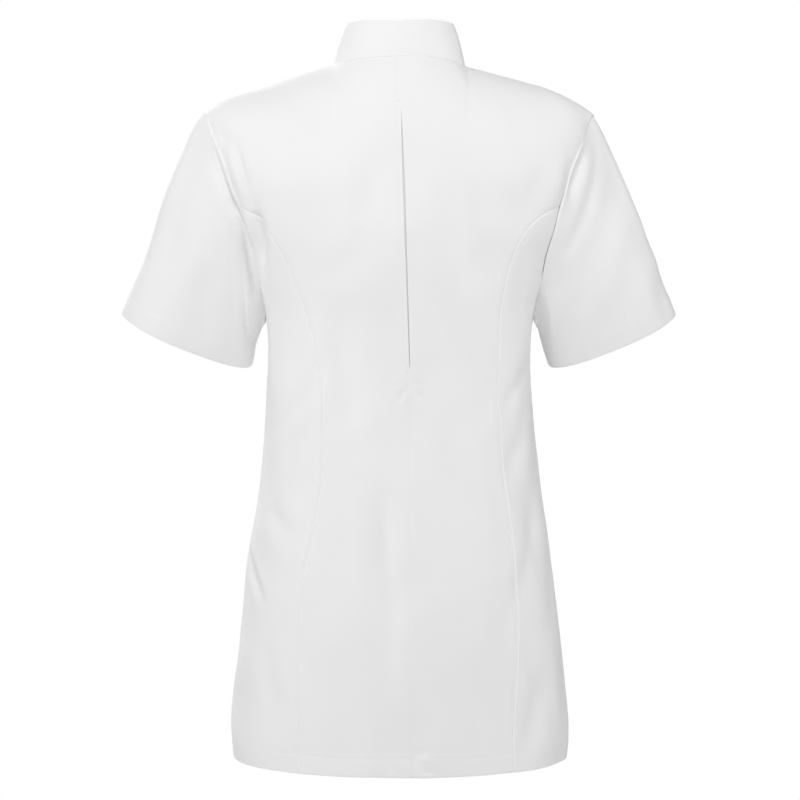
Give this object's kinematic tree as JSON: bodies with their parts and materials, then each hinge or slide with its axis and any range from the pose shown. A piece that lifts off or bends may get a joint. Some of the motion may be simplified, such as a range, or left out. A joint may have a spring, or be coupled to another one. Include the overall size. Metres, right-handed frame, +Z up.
{
  "type": "medical tunic",
  "caption": "Short-sleeved white medical tunic with a stand collar, princess seams, a pleat at the centre back and a buttoned front, in the shape it has when worn.",
  "frame": {"origin": "in the middle of the body between the shoulders, level with the sides of the neck", "axes": "+Z up the wearer's body, -Y the way the wearer faces, +X to the wearer's left"},
  "size_m": [0.5576, 0.2653, 0.7344],
  "materials": {
    "cloth": "matt white polyester and cotton workwear cloth",
    "buttons": "satin white plastic"
  },
  "bodies": {
    "root": {"back_left": "cloth", "back_right": "cloth", "back_side_left": "cloth", "back_side_right": "cloth", "front_left": "cloth", "front_right": "cloth", "front_side_left": "cloth", "front_side_right": "cloth", "sleeve_left": "cloth", "sleeve_right": "cloth", "collar": "cloth", "button_band": "cloth", "pleat_underlay": "cloth", "button_1": "buttons", "button_2": "buttons", "button_3": "buttons", "button_4": "buttons", "button_5": "buttons", "button_6": "buttons"}
  },
  "joints": []
}
